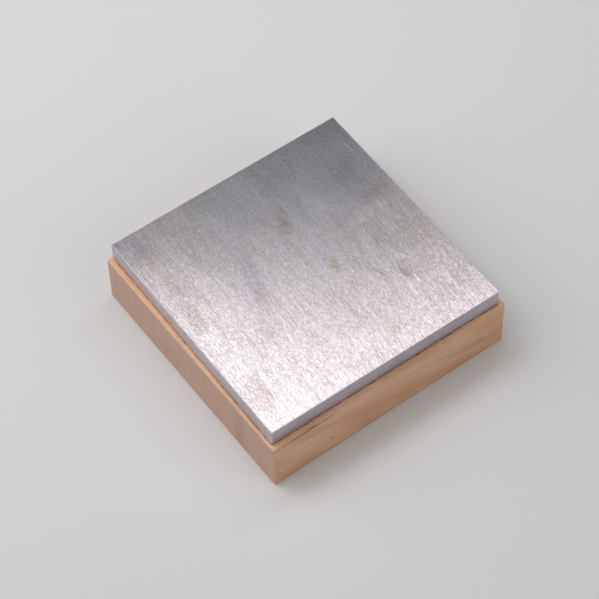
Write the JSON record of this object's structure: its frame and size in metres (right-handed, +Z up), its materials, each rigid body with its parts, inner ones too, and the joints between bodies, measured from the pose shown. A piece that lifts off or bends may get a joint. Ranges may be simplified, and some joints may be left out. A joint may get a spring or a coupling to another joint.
{
  "type": "steel bench block",
  "caption": "Square ground steel plate bedded and screwed down on a slightly larger solid hardwood block, used as a flat face to hammer, stamp and set work on.",
  "frame": {"origin": "centre of the underside of the wooden base, where it stands on the bench", "axes": "+Z up out of the hammering face, X and Y along the sides of the base with the grain of the wood along Y and the grinding marks roughly along X"},
  "size_m": [0.105, 0.105, 0.0312],
  "materials": {
    "hardwood": "bare sanded light pinkish hardwood, grain along Y, end grain on the -Y and +Y sides",
    "adhesive": "dark brown set adhesive, matt",
    "ground_steel": "ground with short fine marks roughly along X, with a few dull brown oxide stains and one hammer mark",
    "screw_steel": "zinc plated, satin"
  },
  "bodies": {
    "root": {"wood_base": "hardwood", "adhesive_bed": "adhesive", "steel_plate": "ground_steel", "screw_front_left": "screw_steel", "screw_front_right": "screw_steel", "screw_back_left": "screw_steel", "screw_back_right": "screw_steel"}
  },
  "joints": []
}
